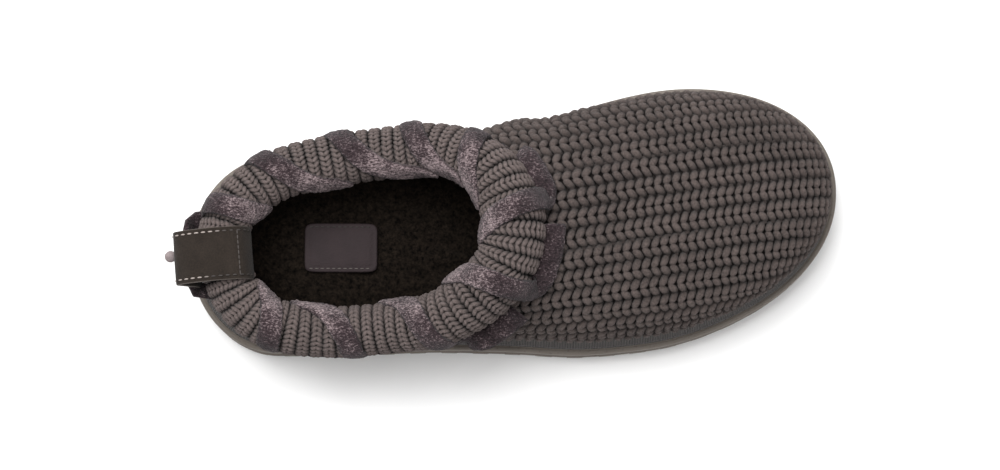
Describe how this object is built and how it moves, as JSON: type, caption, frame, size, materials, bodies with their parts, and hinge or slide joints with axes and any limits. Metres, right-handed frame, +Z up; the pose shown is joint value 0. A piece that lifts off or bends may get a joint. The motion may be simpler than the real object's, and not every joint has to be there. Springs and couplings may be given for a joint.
{
  "type": "knitted slipper",
  "caption": "Closed-heel knitted slipper with a padded cuff, a suede lace whipped round it, a heel loop and a lugged rubber sole; right foot.",
  "frame": {"origin": "middle of the shoe's underside, on the floor", "axes": "+X from heel to toe, +Y to the big-toe side, +Z up"},
  "size_m": [0.2686, 0.1156, 0.0919],
  "materials": {
    "rubber": "matt moulded rubber",
    "ribbon": "ribbed ribbon",
    "knit": "chunky rib knit",
    "cuff_knit": "rib knit over padding",
    "fleece": "dense short fleece",
    "leather_patch": "smooth matt leather",
    "suede_loop": "suede",
    "suede_lace": "mottled suede"
  },
  "bodies": {
    "root": {"outsole": "rubber", "rand_tape": "ribbon", "upper": "knit", "collar_roll": "cuff_knit", "insole": "fleece", "sock_patch": "leather_patch", "heel_loop": "suede_loop", "lace_wrap_01": "suede_lace", "lace_wrap_02": "suede_lace", "lace_wrap_03": "suede_lace", "lace_wrap_04": "suede_lace", "lace_wrap_05": "suede_lace", "lace_wrap_06": "suede_lace", "lace_wrap_07": "suede_lace", "lace_wrap_08": "suede_lace", "lace_wrap_09": "suede_lace", "lace_wrap_10": "suede_lace"}
  },
  "joints": []
}
